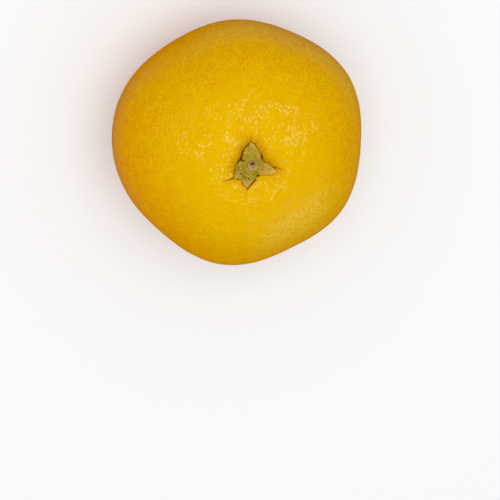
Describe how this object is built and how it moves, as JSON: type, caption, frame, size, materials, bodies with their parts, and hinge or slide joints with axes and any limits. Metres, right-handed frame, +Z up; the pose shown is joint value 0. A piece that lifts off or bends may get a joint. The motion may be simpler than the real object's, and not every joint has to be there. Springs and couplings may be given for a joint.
{
  "type": "orange",
  "caption": "Whole orange with a slightly flattened round shape, a shallow stem dimple and a dried star-shaped calyx around the stem end.",
  "frame": {"origin": "middle of the flat spot at the blossom end, which the fruit rests on", "axes": "+Z up along the core from the blossom end to the stem end; +X towards the pointed sepal that lies opposite the pair of joined sepals"},
  "size_m": [0.0791, 0.0778, 0.0711],
  "materials": {
    "rind": "gloss",
    "calyx": "matte",
    "stem_cork": "matte"
  },
  "bodies": {
    "root": {"fruit": "rind", "calyx": "calyx", "stem_stub": "stem_cork"}
  },
  "joints": []
}
